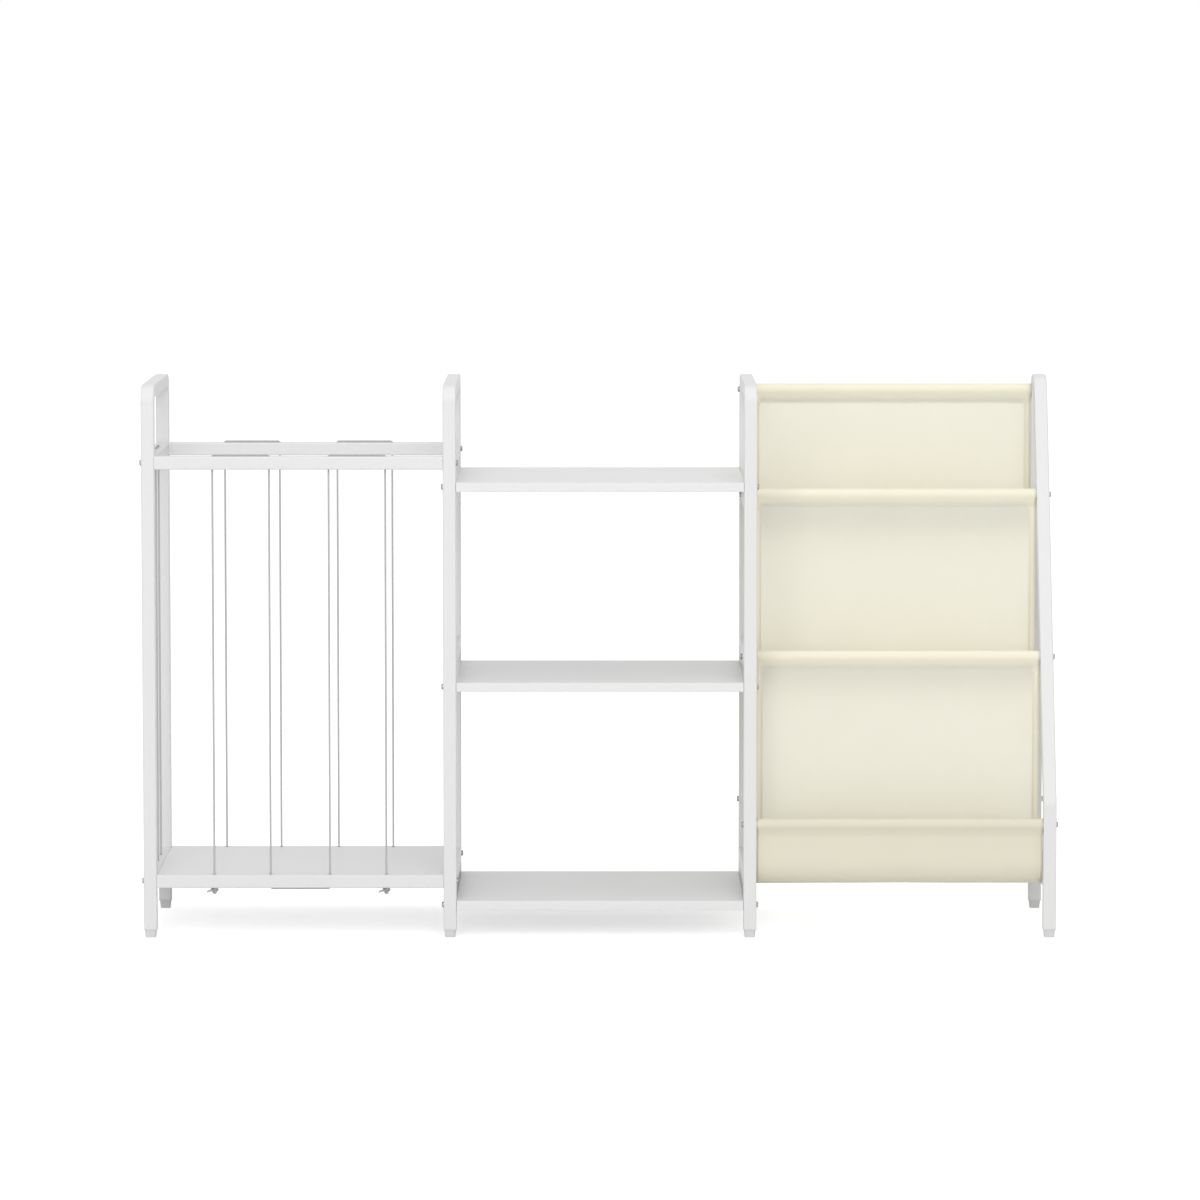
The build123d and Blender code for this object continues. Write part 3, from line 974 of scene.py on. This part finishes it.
@dataclass
class ToyBin:
    """The left bay: four laced cords between its rails."""

    inner_gap: float = 0.091
    outer_gap: float = 0.0865
    side_gap: float = 0.055

    def build(self, braid: bpy.types.Material) -> None:
        """Makes the four cords from the places of the rails that they are laced through."""
        for side in ("front", "rear"):
            upper_low, upper_high = node_box(f"bin_upper_{side}_rail")
            lower_low, _ = node_box(f"bin_lower_{side}_rail")
            middle = (upper_low + upper_high) / 2
            shifts = np.array([-self.inner_gap / 2 - self.outer_gap, -self.inner_gap / 2])
            xs = middle[0] + np.concatenate([shifts, -shifts[::-1]])
            strands = np.stack([xs, np.full(4, middle[1])], axis=1)
            ends = (Strand.BELOW, Strand.BELOW)
            ElasticCord(f"bin_{side}_cord", strands, upper_high[2], lower_low[2], ends).build(braid)
        for side, hoop in (("left", "left_end"), ("right", "left_inner")):
            upper_low, upper_high = node_box(f"{hoop}_upper_side_rail")
            lower_low, _ = node_box(f"{hoop}_lower_side_rail")
            middle = (upper_low + upper_high) / 2
            ys = middle[1] + self.side_gap * np.array([1.0, 0.0, -1.0])
            strands = np.stack([np.full(3, middle[0]), ys], axis=1)
            ends = (Strand.BELOW, Strand.ABOVE)
            ElasticCord(f"bin_{side}_cord", strands, upper_high[2], lower_low[2], ends).build(braid)


@dataclass
class BookRack:
    """The right bay: three slings on the rods."""

    def build(self, fabric: bpy.types.Material, thread: bpy.types.Material) -> None:
        """Makes the slings from the places of their rods."""
        upper = Sling("upper_sling", "top_rod", "upper_front_rod")
        middle = Sling("middle_sling", "upper_front_rod", "middle_front_rod")
        # Only the lowest sling's pocket carries painted shade
        lower = Sling("lower_sling", "middle_front_rod", "lower_front_rod", True, painted_shade_share=1.0)
        for sling in (upper, middle, lower):
            sling.build(fabric, thread)


@dataclass(frozen=True)
class Studio:
    """Pale floor, soft light and the photograph's camera."""

    camera_place: tuple[float, float, float] = (0.0, -8.297, 1.3854)
    lens: float = 160.84
    sensor: float = 36.0
    shift: float = -0.12
    tilt: float = 4.515
    clip_end: float = 100.0
    floor_size: float = 30.0
    floor_color: tuple[float, float, float, float] = srgb(235, 235, 235)
    floor_lift: float = 0.56
    floor_roughness: float = 0.9
    floor_specular: float = 0.1
    world_light: float = 0.61
    key_energy: float = 232.0
    key_size: float = 6.0
    key_place: tuple[float, float, float] = (0.1, -7.0, 5.2)
    overhead_energy: float = 22.0
    overhead_size: float = 2.5
    overhead_place: tuple[float, float, float] = (0.0, -0.4, 4.2)
    fill_energy: float = 58.0
    fill_size: float = 3.0
    fill_place: tuple[float, float, float] = (-1.2, -6.0, 0.5)
    aim: tuple[float, float, float] = (0.0, 0.0, 0.4)

    def camera(self) -> None:
        """Places the camera in front of the unit, a little above it, tilted down."""
        data = bpy.data.cameras.new("studio_camera")
        data.lens = self.lens
        data.sensor_width = self.sensor
        data.shift_y = self.shift
        data.clip_end = self.clip_end
        holder = bpy.data.objects.new("studio_camera", data)
        holder.location = self.camera_place
        holder.rotation_euler = (math.radians(90 - self.tilt), 0.0, 0.0)
        bpy.context.scene.collection.objects.link(holder)
        bpy.context.scene.camera = holder

    def floor(self) -> None:
        """Large floor that renders white where no shadow falls on it."""
        half = self.floor_size / 2
        corners = np.array([[-half, -half, 0.0], [half, -half, 0.0], [half, half, 0.0], [-half, half, 0.0]])
        mesh = bpy.data.meshes.new("studio_floor")
        mesh.from_pydata(corners.tolist(), [], [[0, 1, 2, 3]])
        shader = Shader("studio floor")
        shader.set(Base_Color=self.floor_color, Roughness=self.floor_roughness,
                   Specular_IOR_Level=self.floor_specular)
        lift = shader.add("ShaderNodeMath", operation="MULTIPLY")
        lift.inputs[1].default_value = self.floor_lift
        glow = shader.add("ShaderNodeEmission")
        both = shader.add("ShaderNodeAddShader")
        shader.join(self.seen_rays(shader.nodes, shader.links), lift.inputs[0])
        shader.join(lift.outputs["Value"], glow.inputs["Strength"])
        shader.join(shader.surface.outputs["BSDF"], both.inputs[0])
        shader.join(glow.outputs["Emission"], both.inputs[1])
        shader.join(both.outputs["Shader"], shader.nodes["Material Output"].inputs["Surface"])
        mesh.materials.append(shader.material)
        floor = bpy.data.objects.new("studio_floor", mesh)
        bpy.context.scene.collection.objects.link(floor)

    @staticmethod
    def seen_rays(nodes: bpy.types.Nodes, links: bpy.types.NodeLinks) -> bpy.types.NodeSocket:
        """One where the camera looks straight at a surface, in a reflection or through glass, else zero."""
        path = nodes.new("ShaderNodeLightPath")
        first = nodes.new("ShaderNodeMath")
        first.operation = "MAXIMUM"
        second = nodes.new("ShaderNodeMath")
        second.operation = "MAXIMUM"
        links.new(path.outputs["Is Camera Ray"], first.inputs[0])
        links.new(path.outputs["Is Glossy Ray"], first.inputs[1])
        links.new(first.outputs["Value"], second.inputs[0])
        links.new(path.outputs["Is Transmission Ray"], second.inputs[1])
        return second.outputs["Value"]

    def light(self) -> None:
        """Even light from all round, a large lamp high in front, and smaller ones overhead and low."""
        world = bpy.data.worlds.new("studio")
        world.use_nodes = True
        nodes, links = world.node_tree.nodes, world.node_tree.links
        strength = nodes.new("ShaderNodeMapRange")
        strength.inputs["To Min"].default_value = self.world_light
        strength.inputs["To Max"].default_value = 1.0
        sky = nodes["Background"]
        sky.inputs["Color"].default_value = WHITE
        links.new(self.seen_rays(nodes, links), strength.inputs["Value"])
        links.new(strength.outputs["Result"], sky.inputs["Strength"])
        bpy.context.scene.world = world
        self.lamp("key", self.key_energy, self.key_size, self.key_place)
        self.lamp("overhead", self.overhead_energy, self.overhead_size, self.overhead_place)
        self.lamp("fill", self.fill_energy, self.fill_size, self.fill_place)

    def lamp(self, name: str, energy: float, size: float, place: tuple[float, float, float]) -> None:
        """Adds a square lamp that faces the middle of the unit.

        Args:
            name: the lamp's name.
            energy: its power in watts.
            size: its side.
            place: its middle.
        """
        lamp = bpy.data.lights.new(name, "AREA")
        lamp.energy = energy
        lamp.size = size
        holder = bpy.data.objects.new(name, lamp)
        holder.location = place
        x, y, z = np.array(self.aim) - np.array(place)
        holder.rotation_euler = (math.atan2(math.hypot(x, y), -z), 0.0, math.atan2(-x, y))
        bpy.context.scene.collection.objects.link(holder)

    def build(self) -> None:
        """Sets up the whole studio."""
        self.camera()
        self.floor()
        self.light()
        bpy.context.scene.view_settings.view_transform = "Standard"


def finishes(groups: SharedGroups) -> dict[Slot, bpy.types.Material]:
    """Makes the finish of each material slot."""
    white = srgb(225, 225, 225)
    coats = {
        Slot.STEEL: CoatFinish("white powder coat", white, roughness=0.38, depth=0.02, skin_height=0.00003),
        Slot.BOARD: CoatFinish("white laminate", srgb(229, 229, 229), roughness=0.45, depth=0.02,
                               skin_scale=1600.0),
        Slot.PLASTIC: CoatFinish("pale grey plastic", srgb(216, 216, 216), roughness=0.5, depth=0.04),
        Slot.BOLT: CoatFinish("nickel plate", srgb(158, 158, 158), roughness=0.26, depth=0.1, metallic=1.0),
        Slot.NUT: CoatFinish("zinc plate", srgb(150, 152, 154), roughness=0.35, depth=0.12, metallic=1.0),
    }
    woven = {
        Slot.FABRIC: WovenFinish("cream canvas", srgb(248, 244, 224), srgb(239, 234, 211), 1100.0, 1100.0,
                                 # Doubled cloth's tint, darker partly as painted shade on sleeves and hems
                                 doubled_and_shaded_color=srgb(241, 235, 213), sheen=0.2, light_through=0.7,
                                 # The loss darkens the lowest pocket's front by 22 percent, as painted shade
                                 painted_shade_loss=0.22),
        Slot.ELASTIC: WovenFinish("grey braid", srgb(206, 206, 206), srgb(162, 162, 162), 1300.0, 700.0,
                                  turn=math.pi / 4, thread_height=0.00025),
    }
    return {slot: finish.build(groups) for slot, finish in {**coats, **woven}.items()}


def dress_nodes(materials: dict[Slot, bpy.types.Material]) -> None:
    """Gives every piece of the frame the finish of its slot."""
    slots = {subpart["node"]: Slot(subpart["material_slot"]) for subpart in frame["record"]["subparts"]}
    for name, node in frame["nodes"].items():
        for place in node.material_slots:
            place.material = materials[slots[name]]
        LOG.info("%s: %s", name, slots[name].value)


def main() -> None:
    """Builds the unit's soft pieces and finishes, and the studio round it."""
    logging.basicConfig(level=logging.INFO, format="%(name)s: %(message)s")
    groups = SharedGroups()
    materials = finishes(groups)
    sewing = WovenFinish("cream thread", srgb(240, 237, 220), srgb(205, 198, 172), 1800.0, 1800.0)
    thread = sewing.build(groups)
    dress_nodes(materials)
    ToyBin().build(materials[Slot.ELASTIC])
    BookRack().build(materials[Slot.FABRIC], thread)
    Studio().build()


if __name__ == "__main__":
    main()
